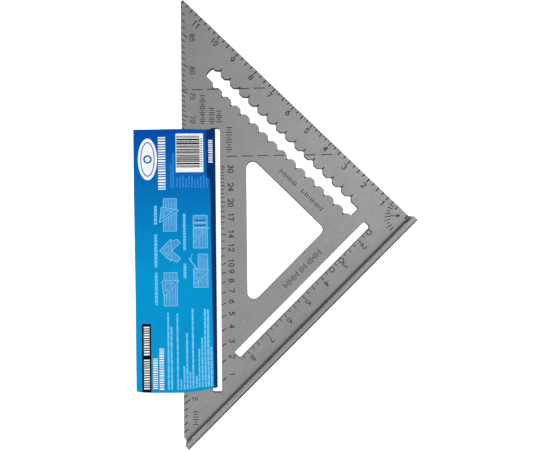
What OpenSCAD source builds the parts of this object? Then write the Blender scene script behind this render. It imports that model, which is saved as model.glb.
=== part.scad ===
// Speed square (rafter square) with a folded card sleeve.
// Origin: the pivot corner, where the ruler edge meets the zero line of the fence, at mid thickness.
// +X runs out past the ruler edge, +Y runs along the ruler edge, +Z comes out of the printed face.

/* [Blade] */
// Length of each leg, from the pivot corner to where the edges would meet
leg_len = 309.9; // [306:0.1:316]
// Thickness of the blade
blade_t = 4.5; // [4:0.5:6]
// Width of the flat that blunts the sharp tip
tip_flat = 3.1; // [2:0.1:6]
// Distance from the zero line to the root of the fence
root_gap = 0.8; // [0.4:0.1:1.2]
// How much the heel of the blade is cut back from where its edges would meet
heel_cut = 2.2; // [1:0.1:6]

/* [Fence] */
// Height of the fence, across both sides of the blade
fence_h = 22; // [18:1:26]
// Thickness of the fence flange
flange_t = 5.6; // [4.5:0.1:7]
// Radius of the fillet between flange and blade
fillet_r = 1.9; // [1:0.1:4]
// How far the fence runs past the ruler edge
fence_over = 1.3; // [0.2:0.1:2]
// How far the fence runs past the heel of the blade
fence_heel = 2; // [0.5:0.1:3]
// Distance over which the ends of the fence slope out, below the inner face of the flange
end_slope = 0.6; // [0.2:0.1:1]
// Chamfer on the upper and lower outer corners of the flange
flange_ease = 0.6; // [0.3:0.1:1]

/* [Straight slot] */
// Lower edge of the straight slot, above the zero line
straight_y = 17.9; // [17:0.1:20]
// Width of the straight slot
straight_w = 7.5; // [5:0.1:9]
// Near end of the straight slot, from the ruler edge
straight_near = 33.6; // [30:0.1:36]
// Far end of the straight slot, from the ruler edge
straight_far = 213.2; // [200:0.1:216]

/* [Notched slot] */
// Ruler edge to the tooth tops on the near side
notch_near = 28.8; // [26:0.1:30]
// Width of the notched slot between facing tooth tops
notch_w = 9.4; // [8:0.1:11]
// Depth of a notch
notch_d = 3.2; // [2.5:0.1:4]
// Lower end of the notched slot
notch_y0 = 38.4; // [38:0.1:40]
// Upper end of the notched slot
notch_y1 = 237.2; // [235.5:0.1:240]
// Number of notches on each side
notch_count = 15; // [5:1:15]
// How far each notch stands past its mark on the ruler
notch_shift = 0.9; // [0:0.1:1.2]

/* [Long slot] */
// Degree edge to the far side of the long slot
long_in = 37.9; // [37:0.1:40]
// Width of the long slot
long_w = 8.8; // [8:0.1:10]
// Lower end of the long slot, from the middle of the degree edge
long_u0 = -171.3; // [-173:0.1:-171.3]
// Upper end of the long slot, from the middle of the degree edge
long_u1 = 87.5; // [87.5:0.1:88.5]

/* [Window] */
// Ruler edge to the window
window_x = 65.3; // [60:0.1:68]
// Zero line to the window
window_y = 46.7; // [44:0.1:50]
// Width of the bar between the long slot and the window
window_bar = 25.8; // [20:0.1:28]
// Corner radius of the window
window_r = 6; // [4:0.5:8]

/* [Scales] */
// Depth of the recessed marks
mark_d = 0.35; // [0.2:0.05:0.6]
// Width of a recessed mark
mark_w = 0.8; // [0.5:0.1:1]
// Length of a short ruler mark
ruler_short = 3.6; // [3:0.1:4]
// Length of a ruler mark at each half inch
ruler_long = 5; // [4:0.1:6]
// Depth of a degree mark, square to the degree edge
degree_short = 3.8; // [3:0.1:5]
// Depth of a mark at each fifth degree
degree_long = 6.2; // [5:0.1:8]

/* [Card sleeve] */
// Thickness of the card
card_t = 0.5; // [0.4:0.1:0.8]
// Gap between the card and the blade
card_gap = 0.3; // [0.2:0.1:0.6]
// Lower end of the card, from the middle of the degree edge
card_u0 = -172.3; // [-173:0.1:-171]
// Upper end of the card, from the middle of the degree edge
card_u1 = 87.2; // [84:0.1:87.2]
// How far the lower end of the card stands out past the degree edge
out_low = 46.9; // [40:0.1:50]
// How far the upper end of the card stands out past the degree edge
out_high = 49.6; // [40:0.1:50]
// Degree edge to the fold, at its lower end
fold_low = 33.4; // [33:0.1:36]
// Degree edge to the fold, at its upper end
fold_high = 33.2; // [33:0.1:36]
// How far the lower end of the fold is cut back, to clear the end of the slot
fold_cut = 6.3; // [6.2:0.1:9]
// Degree edge to where the two panels meet
seam_start = 34.5; // [30:0.5:36]

/* [Hidden] */
$fn = 48;
inch = 25.4;
eps = 0.01;
face_z = blade_t / 2;
flange_in = -root_gap - fillet_r;
flange_out = flange_in - flange_t;
blade_x0 = -leg_len + heel_cut;
fence_x0 = blade_x0 - fence_heel;
hyp_mid = leg_len / 2;
window_in = long_in + window_bar;
hip_line = leg_len - sqrt(2) * long_in;
common_line = leg_len - sqrt(2) * (long_in - long_w);
hip_rise = 12 * sqrt(2);
rafter_len = 3.6;
glue_t = 0.3;
fold_u0 = card_u0 + fold_cut;
tooth_flat = 5;
root_flat = inch / 25;
slot_round = 2.6;
slot_square = 0.8;
slot_round_len = 12;
notch_end_r = 1.2;
long_end_r = 1.5;
near_notch_inch = 2;
far_notch_inch = 1.75;
near_mark = [3.2, 1.2];
far_mark = [2.4, 1.4];
slot_mark_long = 4.8;
slot_mark_short = 3.6;
ring_d = 5.4;
ring_hole = 3.8;
ring_down = 2.9;
ring_inches = [1.5, 3, 3.5];
dash_size = [1, 10.6];
dash_pitch = 15.4;
tip_dashes_u = 126.4;
tip_dashes_start = 5.8;
mid_dashes_u = 59.8;
mid_dashes_start = 8.1;
edge_past = 1;
knee_share = 0.55;
fold_free = 5;
glue_inset = 2;
glue_start = 1;
glue_stop = 1.5;
cast_grey = [0.60, 0.61, 0.62];
card_blue = [0.02, 0.42, 0.72];
card_back = [0.62, 0.58, 0.52];

// Places children in the frame of the degree edge: X along it, Y outwards, origin at its middle
module on_degree_edge() {
    translate([-hyp_mid, hyp_mid, 0])
        rotate([0, 0, 45])
            children();
}

// A slot outline from corner to corner, with its corners rounded
module round_slot(x0, x1, y0, y1, r) {
    for (x = [x0 + r, x1 - r], y = [y0 + r, y1 - r])
        translate([x, y])
            circle(r = r);
    translate([x0 + r, y0])
        square([x1 - x0 - 2 * r, y1 - y0]);
    translate([x0, y0 + r])
        square([x1 - x0, y1 - y0 - 2 * r]);
}

// Outline of the blade, with the blunt tip and the cut corner at the fence
module blade_outline() {
    polygon([
        [0, -root_gap],
        [0, leg_len - tip_flat],
        [-tip_flat, leg_len - tip_flat],
        [blade_x0, leg_len + blade_x0],
        [blade_x0, -root_gap]
    ]);
}

// The straight slot: one round end, one square end
module straight_slot() {
    high = straight_y + straight_w;
    round_slot(-straight_near - slot_round_len, -straight_near, straight_y, high, slot_round);
    round_slot(-straight_far, -straight_near - slot_round_len / 2, straight_y, high, slot_square);
}

// One notch: its slanted sides meet a small flat at the root
module notch(side) {
    root = root_flat / 2;
    mouth = (inch / 2 - tooth_flat) / 2;
    polygon([
        [-side * eps, -mouth - eps],
        [side * notch_d, -root],
        [side * notch_d, root],
        [-side * eps, mouth + eps]
    ]);
}

// The notched slot: half-inch pitch, with the two sides a quarter inch apart
module notched_slot() {
    far = notch_near + notch_w;
    round_slot(-far, -notch_near, notch_y0, notch_y1, notch_end_r);
    for (i = [0 : notch_count - 1]) {
        translate([-notch_near, (near_notch_inch + i / 2) * inch + notch_shift])
            notch(1);
        translate([-far, (far_notch_inch + i / 2) * inch + notch_shift])
            notch(-1);
    }
}

// The long slot beside the degree bar
module long_slot() {
    on_degree_edge()
        round_slot(long_u0, long_u1, -long_in, -long_in + long_w, long_end_r);
}

// The triangle window: three round corners joined by straight edges
module window() {
    diagonal = leg_len - sqrt(2) * window_in;
    reach = window_r * (1 + sqrt(2));
    left = window_y - diagonal + reach;
    top = diagonal - window_x - reach;
    hull() {
        translate([-window_x - window_r, window_y + window_r])
            circle(r = window_r);
        translate([left, window_y + window_r])
            circle(r = window_r);
        translate([-window_x - window_r, top])
            circle(r = window_r);
    }
}

// A mark from the ruler edge inwards
module ruler_mark(y, len) {
    translate([-len, y - mark_w / 2])
        square([len + edge_past, mark_w]);
}

// Quarter-inch marks of the ruler edge; the first quarter has none
module ruler_marks() {
    for (q = [0, each [2 : 48]])
        ruler_mark(q * inch / 4, q % 2 == 0 ? ruler_long : ruler_short);
}

// A radial mark from the line y = x + line: outwards when len is positive, inwards when negative
module radial_mark(angle, line, len) {
    start = line / (sin(angle) + cos(angle));
    run = len / cos(angle - 45);
    rotate([0, 0, 180 - angle])
        translate([start + min(run, -edge_past), -mark_w / 2])
            square([abs(run) + edge_past, mark_w]);
}

// One-degree marks along the degree edge
module degree_marks() {
    for (a = [1 : 88])
        radial_mark(a, leg_len, a % 5 == 0 ? -degree_long : -degree_short);
}

// Rafter marks on both sides of the long slot: hip and valley pitches inside it, common pitches outside
module rafter_marks() {
    for (n = [1 : 30]) {
        radial_mark(atan(n / hip_rise), hip_line, -rafter_len);
        radial_mark(atan(n / 12), common_line, rafter_len);
    }
}

// Quarter-inch marks and layout rings on the lower edge of the straight slot
module slot_marks() {
    for (q = [7 : 33])
        if (q != 12 && q != 14)
            slot_mark(-q * inch / 4, q % 2 == 0 ? slot_mark_long : slot_mark_short);
    for (k = ring_inches)
        translate([-k * inch, straight_y - ring_down])
            difference() {
                circle(d = ring_d);
                circle(d = ring_hole);
            }
}

// A mark from the lower edge of the straight slot towards the fence
module slot_mark(x, len) {
    translate([x - mark_w / 2, straight_y - len])
        square([mark_w, len + edge_past]);
}

// Short marks at the root of each notch
module notch_marks() {
    near_root = -notch_near + notch_d;
    far_root = -notch_near - notch_w - notch_d;
    for (i = [0 : notch_count - 1]) {
        near_y = (near_notch_inch + i / 2) * inch + notch_shift;
        far_y = (far_notch_inch + i / 2) * inch + notch_shift;
        translate([near_root - edge_past, near_y - near_mark[1] / 2])
            square([near_mark[0] + edge_past, near_mark[1]]);
        translate([far_root - far_mark[0], far_y - far_mark[1] / 2])
            square([far_mark[0] + edge_past, far_mark[1]]);
    }
}

// A dashed layout line square to the degree edge
module dashed_line(u, first_end, pitch, dashes) {
    on_degree_edge()
        for (i = dashes)
            translate([u - dash_size[0] / 2, -first_end - i * pitch])
                square(dash_size);
}

module face_marks() {
    ruler_marks();
    degree_marks();
    rafter_marks();
    slot_marks();
    notch_marks();
    dashed_line(tip_dashes_u, tip_dashes_start, dash_pitch, [1 : 5]);
    dashed_line(mid_dashes_u, mid_dashes_start, dash_pitch, [0 : 9]);
}

module blade() {
    color(cast_grey)
        difference() {
            linear_extrude(blade_t, center = true)
                difference() {
                    blade_outline();
                    straight_slot();
                    notched_slot();
                    long_slot();
                    window();
                }
            translate([0, 0, face_z - mark_d])
                linear_extrude(mark_d + 1)
                    face_marks();
            translate([0, 0, -face_z - 1])
                linear_extrude(mark_d + 1) {
                    ruler_marks();
                    degree_marks();
                }
        }
}

// Plan of the fence: its ends slope from the blade corners out to the flange
module fence_plan() {
    polygon([
        [0, -root_gap],
        [fence_over, flange_in - end_slope],
        [fence_over, flange_out],
        [fence_x0, flange_out],
        [fence_x0, flange_in - end_slope],
        [blade_x0, -root_gap]
    ]);
}

// Section of the fence in Y and Z: the flange with eased outer corners, and the root with its two fillets
module fence_section() {
    half = fence_h / 2;
    reach = face_z + fillet_r;
    difference() {
        polygon([
            [-root_gap, -reach],
            [flange_in, -reach],
            [flange_in, -half],
            [flange_out + flange_ease, -half],
            [flange_out, -half + flange_ease],
            [flange_out, half - flange_ease],
            [flange_out + flange_ease, half],
            [flange_in, half],
            [flange_in, reach],
            [-root_gap, reach]
        ]);
        for (side = [-1, 1])
            translate([-root_gap, side * reach])
                circle(r = fillet_r);
    }
}

module fence() {
    color(cast_grey)
        intersection() {
            translate([fence_over + 1, 0, 0])
                rotate([90, 0, -90])
                    linear_extrude(fence_over - fence_x0 + 2)
                        mirror([1, 0])
                            fence_section();
            linear_extrude(fence_h + 2, center = true)
                fence_plan();
        }
}

// Section of the front panel: flat over the degree bar, then down to the seam
module panel_section() {
    lift = face_z + card_gap;
    low = glue_t / 2;
    knee = seam_start * knee_share;
    far = out_high + 1;
    polygon([
        [-fold_low - 1, lift],
        [1, lift],
        [knee, lift * 0.5 + low],
        [seam_start, low],
        [far, low],
        [far, low + card_t],
        [seam_start, low + card_t],
        [knee, lift * 0.5 + low + card_t],
        [1, lift + card_t],
        [-fold_low - 1, lift + card_t]
    ]);
}

// Plan of a panel, which ends one card thickness short of the fold's outer side
module panel_plan() {
    polygon([
        [card_u0, out_low],
        [card_u0, -fold_free],
        [fold_u0, -fold_low + card_t],
        [card_u1, -fold_high + card_t],
        [card_u1, out_high]
    ]);
}

module card_panel() {
    on_degree_edge()
        intersection() {
            translate([card_u0 - 1, 0, 0])
                rotate([90, 0, 90])
                    linear_extrude(card_u1 - card_u0 + 2)
                        panel_section();
            linear_extrude(blade_t * 3, center = true)
                panel_plan();
        }
}

module card_front_panel() {
    color(card_blue)
        card_panel();
}

module card_back_panel() {
    color(card_back)
        mirror([0, 0, 1])
            card_panel();
}

module card_spine() {
    color(card_blue)
        on_degree_edge()
            linear_extrude(blade_t + 2 * (card_gap + card_t), center = true)
                polygon([
                    [fold_u0, -fold_low],
                    [card_u1, -fold_high],
                    [card_u1, -fold_high + card_t],
                    [fold_u0, -fold_low + card_t]
                ]);
}

module card_glue_seam() {
    color("ivory")
        on_degree_edge()
            linear_extrude(glue_t, center = true)
                polygon([
                    [card_u0 + glue_inset, seam_start + glue_start],
                    [card_u1 - glue_inset, seam_start + glue_start],
                    [card_u1 - glue_inset, out_high - glue_stop],
                    [card_u0 + glue_inset, out_low - glue_stop]
                ]);
}

blade();
fence();
card_front_panel();
card_back_panel();
card_spine();
card_glue_seam();
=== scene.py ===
import math
import random

import bpy
import numpy as np
from mathutils import Matrix, Vector
from mathutils.geometry import delaunay_2d_cdt


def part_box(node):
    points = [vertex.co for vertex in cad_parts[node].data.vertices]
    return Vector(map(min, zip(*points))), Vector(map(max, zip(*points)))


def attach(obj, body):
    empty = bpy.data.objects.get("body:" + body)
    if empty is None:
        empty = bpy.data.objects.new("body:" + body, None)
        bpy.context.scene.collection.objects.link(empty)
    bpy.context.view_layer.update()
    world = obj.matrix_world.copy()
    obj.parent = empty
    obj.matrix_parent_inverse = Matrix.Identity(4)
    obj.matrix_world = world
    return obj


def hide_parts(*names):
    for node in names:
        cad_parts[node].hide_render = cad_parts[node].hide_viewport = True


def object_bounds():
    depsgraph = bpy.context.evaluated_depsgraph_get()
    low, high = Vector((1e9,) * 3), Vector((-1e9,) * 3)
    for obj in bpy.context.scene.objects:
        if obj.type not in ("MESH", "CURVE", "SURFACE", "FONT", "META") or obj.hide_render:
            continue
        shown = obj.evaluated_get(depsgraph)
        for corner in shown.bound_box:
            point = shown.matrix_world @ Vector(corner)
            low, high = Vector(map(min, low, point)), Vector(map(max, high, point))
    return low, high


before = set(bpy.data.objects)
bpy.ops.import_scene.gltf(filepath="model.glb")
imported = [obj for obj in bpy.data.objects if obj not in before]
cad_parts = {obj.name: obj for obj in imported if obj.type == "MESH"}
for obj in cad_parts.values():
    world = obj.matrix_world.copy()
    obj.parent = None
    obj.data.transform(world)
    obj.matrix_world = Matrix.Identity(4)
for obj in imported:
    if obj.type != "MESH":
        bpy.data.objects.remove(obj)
cad_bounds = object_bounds()

# Outlines are in millimetres in the row frame: X past the ruler edge, Y along it, Z out of the marked face
MM = 0.001
INCH = 25.4
ROOT2 = math.sqrt(2.0)

blade_low, blade_high = [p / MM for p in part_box("blade")]
fence_low, fence_high = [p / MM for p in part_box("fence")]
card_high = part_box("card_front_panel")[1] / MM

# ---- sizes

FACE_Z = blade_high.z  # the marked face
ROOT_Y = blade_low.y  # where the blade runs into the fence
BLADE_LEFT = blade_low.x
TIP_FLAT = 3.1
TIP_R, END_R = 0.9, 0.7  # corners of the blade in plan, at the tip and at the fence's end
LEG = blade_high.y + TIP_FLAT  # both legs, from the pivot to where their edges would meet
EDGE_R = 0.55  # rounding of the casting's edges
DRAFT = 0.15  # how far the walls lean in from the parting line to each face
PARTING = 0.04  # height of the walls' straight part on each side of the blade's middle

STRAIGHT_SLOT = dict(near=-33.6, far=-213.2, low=17.9, high=25.4, radii=[2.4, 1.2, 1.2, 2.4])
NOTCH_NEAR = -28.8  # tooth tops nearest the ruler
NOTCH_FAR = -38.2
NOTCH_DEPTH = 3.2
NOTCH_LOW, NOTCH_HIGH = 38.4, 237.2
NOTCH_SHIFT = 0.9  # how far each notch stands past its mark on the ruler
NOTCH_COUNT = 15
TOOTH_FLAT, TOOTH_R = 5.0, 2.2
ROOT_FLAT, ROOT_R = 1.0, 0.5
NEAR_NOTCHES = [(2 + i / 2) * INCH + NOTCH_SHIFT for i in range(NOTCH_COUNT)]
FAR_NOTCHES = [(1.75 + i / 2) * INCH + NOTCH_SHIFT for i in range(NOTCH_COUNT)]
LONG_SLOT = dict(low=-171.3, high=87.5, outer=29.1, inner=37.9, radii=[1.2, 1.2, 2.2, 1.2])
WINDOW_X, WINDOW_Y = -65.3, 46.7
WINDOW_RADII = [5.5, 6.3, 6.3]
WINDOW_IN = 63.7  # degree edge to the window's sloping side

FENCE_IN, FENCE_OUT = -2.7, fence_low.y
FENCE_HALF = fence_high.z
FENCE_RIGHT, FENCE_LEFT = fence_high.x, fence_low.x
FILLET_R = 1.9

MARK_DEPTH = 0.36
MARK_SLOPE = 0.27  # plan width of a mark's sloping side
RULER_TICK_W = 1.15
DEGREE_TICK_W = 0.92
NUMERAL_W, NUMERAL_HEIGHT = 0.98, 6.0
FINE_W = 0.85  # the finer numerals, marks and words
# How far marks reach in from their edge: long, short and, on the ruler, finest
RULER_REACH = (4.6, 3.3, 2.3)
DEGREE_REACH = (6.2, 3.7)
SLOT_REACH = (4.4, 3.2)
RULER_NUMERALS, DEGREE_NUMERALS, HIP_NUMERALS = 9.0, 11.2, 10.3  # and how far in their numerals stand

# ---- plan geometry


def unit(v):
    return np.array(v, float) / max(np.linalg.norm(v), 1e-12)


def unit_rows(v):
    return v / np.maximum(np.linalg.norm(v, axis=1), 1e-9)[:, None]


def degree_edge(u, w):
    """A point u along the degree edge from its middle towards the tip, and w inwards from it."""
    return np.array([-LEG / 2 + (u + w) / ROOT2, LEG / 2 + (u - w) / ROOT2])


def box_corners(x0, x1, y0, y1):
    return [(x0, y0), (x1, y0), (x1, y1), (x0, y1)]


def rounded(points, radii, step=14.0):
    """The closed outline through points with each corner turned into an arc of its radius."""
    points = [np.array(p, float) for p in points]
    out = []
    for i, corner in enumerate(points):
        before = unit(points[i - 1] - corner)
        after = unit(points[(i + 1) % len(points)] - corner)
        half = math.acos(max(-1.0, min(1.0, float(before @ after)))) / 2
        if radii[i] <= 0 or half > math.pi / 2 - 0.02:
            out.append(corner)
            continue
        reach = radii[i] / math.tan(half)
        centre = corner + unit(before + after) * radii[i] / math.sin(half)
        start = corner + before * reach - centre
        sweep = math.pi - 2 * half
        turn = 1.0 if before[0] * after[1] - before[1] * after[0] < 0 else -1.0
        pieces = max(2, int(math.ceil(math.degrees(sweep) / step)))
        for k in range(pieces + 1):
            a = turn * sweep * k / pieces
            c, s = math.cos(a), math.sin(a)
            out.append(centre + np.array([c * start[0] - s * start[1], s * start[0] + c * start[1]]))
    return np.array(out)


def left_normals(loop):
    """For each corner of a closed loop, the miter step to its left for an offset of one."""
    ahead = unit_rows(np.roll(loop, -1, 0) - loop)
    behind = np.roll(ahead, 1, 0)
    n = unit_rows(np.stack([-ahead[:, 1] - behind[:, 1], ahead[:, 0] + behind[:, 0]], 1))
    cos_half = n[:, 0] * -ahead[:, 1] + n[:, 1] * ahead[:, 0]
    return n / np.maximum(cos_half, 0.4)[:, None]


def offset(loop, distance):
    """The loop moved to its left by distance."""
    return loop + left_normals(loop) * distance


def inside(points, loop):
    """Which points lie inside a closed loop."""
    x, y = points[:, 0], points[:, 1]
    result = np.zeros(len(points), bool)
    for (x0, y0), (x1, y1) in zip(loop, np.roll(loop, -1, 0)):
        if y0 == y1:
            continue
        crosses = (y0 > y) != (y1 > y)
        result ^= crosses & (x < (x1 - x0) * (y - y0) / (y1 - y0) + x0)
    return result


# ---- outlines of the casting


def blade_outline():
    """Outer edge of the blade, metal on its left. Its foot is drawn one edge radius low."""
    foot = ROOT_Y - EDGE_R
    tip = LEG - TIP_FLAT
    points = [(0, foot), (0, tip), (-TIP_FLAT, tip), (BLADE_LEFT, LEG + BLADE_LEFT), (BLADE_LEFT, foot)]
    return rounded(points, [0, TIP_R, TIP_R, END_R, 0])


def straight_slot_outline():
    s = STRAIGHT_SLOT
    return rounded(box_corners(s["near"], s["far"], s["low"], s["high"]), s["radii"])


def notched_side(side_x, depth, places, last_radius):
    """Corners with their radii up one side of the notched slot, with a notch at each place."""
    mouth, root = (INCH / 2 - TOOTH_FLAT) / 2, ROOT_FLAT / 2
    x = side_x + depth
    corners = [((side_x, NOTCH_LOW), 1.0)]
    for y in places:
        corners += [((side_x, y - mouth), TOOTH_R), ((x, y - root), ROOT_R)]
        corners += [((x, y + root), ROOT_R), ((side_x, y + mouth), TOOTH_R)]
    return corners + [((side_x, NOTCH_HIGH), last_radius)]


def notched_slot_outline():
    """Up the side away from the ruler and down the other, metal on the left."""
    corners = notched_side(NOTCH_FAR, -NOTCH_DEPTH, FAR_NOTCHES, 2.0)
    corners += notched_side(NOTCH_NEAR, NOTCH_DEPTH, NEAR_NOTCHES, 1.6)[::-1]
    return rounded([c[0] for c in corners], [c[1] for c in corners], 24.0)


def long_slot_outline():
    s = LONG_SLOT
    corners = box_corners(s["low"], s["high"], s["outer"], s["inner"])
    return rounded([degree_edge(*corner) for corner in corners], s["radii"])


def window_outline():
    line = LEG - ROOT2 * WINDOW_IN
    points = [(WINDOW_X, WINDOW_Y), (WINDOW_Y - line, WINDOW_Y), (WINDOW_X, WINDOW_X + line)]
    return rounded(points, WINDOW_RADII, 7.0)


def turned(loop, anticlockwise):
    """The loop in the direction asked for."""
    x, y = loop[:, 0], loop[:, 1]
    area = np.sum(x * np.roll(y, -1) - np.roll(x, -1) * y)
    return loop if (area > 0) == anticlockwise else loop[::-1].copy()


def casting_loops():
    """The blade's outer edge and its four openings, each with metal on its left."""
    holes = (straight_slot_outline(), notched_slot_outline(), long_slot_outline(), window_outline())
    return [turned(blade_outline(), True)] + [turned(hole, False) for hole in holes]


# ---- strokes: each recessed mark is a round-ended groove


class Stroke:
    """A groove along a line of points, with its full width at the face."""

    def __init__(self, points, width, closed=False):
        self.points = np.array(points, float)
        self.half = width / 2
        self.closed = closed

    def contours(self):
        """Closed outlines of the groove at the face and at its floor."""
        out = []
        for half in (self.half, self.half - MARK_SLOPE):
            if self.closed:
                out += [offset(self.points, half), offset(self.points, -half)]
            else:
                out.append(self.capsule(half))
        return out

    def capsule(self, half):
        """An open line's outline, half wide on each side, with round ends."""
        p = self.points
        ahead = unit_rows(np.diff(p, axis=0))
        tangent = unit_rows(np.vstack([ahead[:1], (ahead[:-1] + ahead[1:]) / 2, ahead[-1:]]))
        normal = np.stack([-tangent[:, 1], tangent[:, 0]], 1)
        arcs = [math.radians(a) for a in (45, 90, 135)]
        head = [p[-1] + half * (math.cos(a) * normal[-1] + math.sin(a) * tangent[-1]) for a in arcs]
        tail = [p[0] - half * (math.cos(a) * normal[0] + math.sin(a) * tangent[0]) for a in arcs]
        return np.vstack([p + half * normal, head, (p - half * normal)[::-1], tail])

    def segments(self):
        """Starts and ends of the straight pieces."""
        ends = np.roll(self.points, -1, 0)
        starts = self.points
        if not self.closed:
            starts, ends = starts[:-1], ends[:-1]
        return starts, ends


def ellipse_points(centre, rx, ry, angles):
    return [(centre[0] + rx * math.cos(a), centre[1] + ry * math.sin(a)) for a in angles]


def arc_points(centre, rx, ry, start, end, count=9):
    """Points along part of an ellipse, from one angle in degrees to another."""
    angles = [math.radians(start + (end - start) * k / count) for k in range(count + 1)]
    return ellipse_points(centre, rx, ry, angles)


def ring_points(centre, rx, ry, count=18):
    return ellipse_points(centre, rx, ry, [2 * math.pi * k / count for k in range(count)])


# Numerals in a box 0.6 wide and 1 high: the closed rings of each, then its open lines
DIGITS = {
    "0": ([ring_points((0.3, 0.5), 0.3, 0.5)], []),
    "1": ([], [[(0.12, 0.78), (0.34, 1)], [(0.34, 1), (0.34, 0)]]),
    "2": ([], [arc_points((0.3, 0.7), 0.3, 0.3, 165, -40) + [(0.02, 0)], [(0.02, 0), (0.6, 0)]]),
    "3": ([], [
        arc_points((0.29, 0.76), 0.27, 0.24, 150, -90),
        arc_points((0.29, 0.27), 0.31, 0.27, 90, -150),
    ]),
    "4": ([], [[(0.44, 0), (0.44, 1)], [(0.44, 1), (0, 0.32)], [(0, 0.32), (0.62, 0.32)]]),
    "5": ([], [
        [(0.54, 1), (0.1, 1)],
        [(0.1, 1), (0.05, 0.54)],
        arc_points((0.28, 0.32), 0.32, 0.32, 135, -150),
    ]),
    "6": ([ring_points((0.3, 0.31), 0.3, 0.31)], [arc_points((0.62, 0.33), 0.62, 0.67, 180, 105)]),
    "7": ([], [[(0, 1), (0.6, 1)], [(0.6, 1), (0.2, 0)]]),
    "8": ([ring_points((0.3, 0.76), 0.24, 0.24, 14), ring_points((0.3, 0.27), 0.3, 0.27)], []),
    "9": ([ring_points((0.3, 0.69), 0.3, 0.31)], [arc_points((-0.02, 0.67), 0.62, 0.67, 0, -75)]),
}
DIGIT_WIDTH, DIGIT_SPACING = 0.6, 0.86


def numeral(text, centre, along, up, height=NUMERAL_HEIGHT, width=NUMERAL_W):
    """Strokes for a number centred on a point, reading along one direction with its tops towards up."""
    along, up = unit(along), unit(up)
    height -= width
    total = DIGIT_WIDTH + DIGIT_SPACING * (len(text) - 1)
    strokes = []
    for i, digit in enumerate(text):
        rings, lines = DIGITS[digit]
        for points, closed in [(ring, True) for ring in rings] + [(line, False) for line in lines]:
            placed = []
            for x, y in points:
                dx = (x + DIGIT_SPACING * i - total / 2) * height
                dy = (y - 0.5) * height
                placed.append(np.array(centre) + along * dx + up * dy)
            strokes.append(Stroke(placed, width, closed))
    return strokes


def blank_word(centre, along, up, length, height=6.0, width=FINE_W, pitch=2.3):
    """A row of plain uprights, long and short by turns, where a casting carries a word."""
    along, up = unit(along), unit(up)
    count = max(2, int(round(length / pitch)) + 1)
    strokes = []
    for i in range(count):
        base = np.array(centre) + along * (i - (count - 1) / 2) * length / (count - 1)
        reach = (height - width) / 2 * (1.0 if i % 3 != 1 else 0.45)
        strokes.append(Stroke([base - up * reach, base + up * reach], width))
    return strokes


# ---- scales

PAST_EDGE = 1.5  # grooves that reach an edge run this far past it
TIP_SIDE = np.array([1.0, 1.0]) / ROOT2
INWARDS = np.array([1.0, -1.0]) / ROOT2


def ruler_ticks():
    """Marks at each quarter inch, longer at each half, and finer eighths along part of the edge."""
    def tick(y, reach, width=RULER_TICK_W):
        return Stroke([(PAST_EDGE, y), (-reach, y)], width)

    strokes = [tick(q * INCH / 4, RULER_REACH[q % 2]) for q in [0] + list(range(2, 49))]
    return strokes + [tick(q * INCH / 8, RULER_REACH[2], 0.8) for q in range(29, 58, 2)]


def ruler_numerals(flip):
    strokes = []
    for n in range(1, 13):
        strokes += numeral(str(n), (-RULER_NUMERALS, n * INCH), (0, -flip), (1, 0))
    return strokes


def ray(angle):
    """The direction from the pivot at an angle to the fence."""
    return np.array([-math.cos(angle), math.sin(angle)])


def on_ray(angle, w):
    """The point on a ray from the pivot that lies w inwards from the degree edge."""
    return ray(angle) * (LEG - ROOT2 * w) / (math.sin(angle) + math.cos(angle))


def radial_tick(angle, start, end):
    """A groove on the ray at an angle, between two depths inwards from the degree edge."""
    return Stroke([on_ray(angle, start), on_ray(angle, end)], DEGREE_TICK_W)


def degree_ticks():
    return [radial_tick(math.radians(a), -PAST_EDGE, DEGREE_REACH[a % 5 > 0]) for a in range(1, 89)]


END_NUMERALS = {5: -3.5, 85: 3.6}  # how far the two end numerals stand off their marks, towards the tip


def degree_numerals(flip):
    strokes = []
    for a in range(5, 90, 5):
        centre = on_ray(math.radians(a), DEGREE_NUMERALS) + TIP_SIDE * END_NUMERALS.get(a, 0.0)
        strokes += numeral(str(a), centre, -TIP_SIDE * flip, INWARDS, 5.6, 0.8)
    return strokes


HIP_RISE = 12 * ROOT2
HIP_LABELS = (1, 2, 3, 4, 5, 6, 7, 8, 9, 10, 12, 14, 17, 20, 24, 30)


def rafter_scale():
    """Hip and valley pitches inside the long slot, and common pitches on its other side."""
    strokes = []
    inner, outer = LONG_SLOT["inner"], LONG_SLOT["outer"]
    for n in range(1, 31):
        depth = SLOT_REACH[n not in HIP_LABELS]
        strokes.append(radial_tick(math.atan(n / HIP_RISE), inner - PAST_EDGE, inner + depth))
        strokes.append(radial_tick(math.atan(n / 12), outer - depth, outer + PAST_EDGE))
    for n in HIP_LABELS:
        down = max(0.0, 2.0 - 0.12 * n)
        centre = on_ray(math.atan(n / HIP_RISE), inner + HIP_NUMERALS) - TIP_SIDE * down
        strokes += numeral(str(n), centre, -TIP_SIDE, INWARDS)
    return strokes


def straight_slot_scale():
    """Quarter inches from the ruler edge, with a ring round three of them."""
    strokes = []
    low = STRAIGHT_SLOT["low"]
    rings = (6, 12, 14)
    for q in range(7, 34):
        if q not in rings:
            x = -q * INCH / 4
            strokes.append(Stroke([(x, low + PAST_EDGE), (x, low - SLOT_REACH[q % 2])], FINE_W))
    strokes += [Stroke(ring_points((-q * INCH / 4, low - 2.9), 2.3, 2.3, 20), 0.9, True) for q in rings]
    for n in range(2, 9):
        strokes += numeral(str(n), (-n * INCH - 0.6, 9.0), (-1, 0), (0, -1), 6.2, FINE_W)
    return strokes


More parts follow.
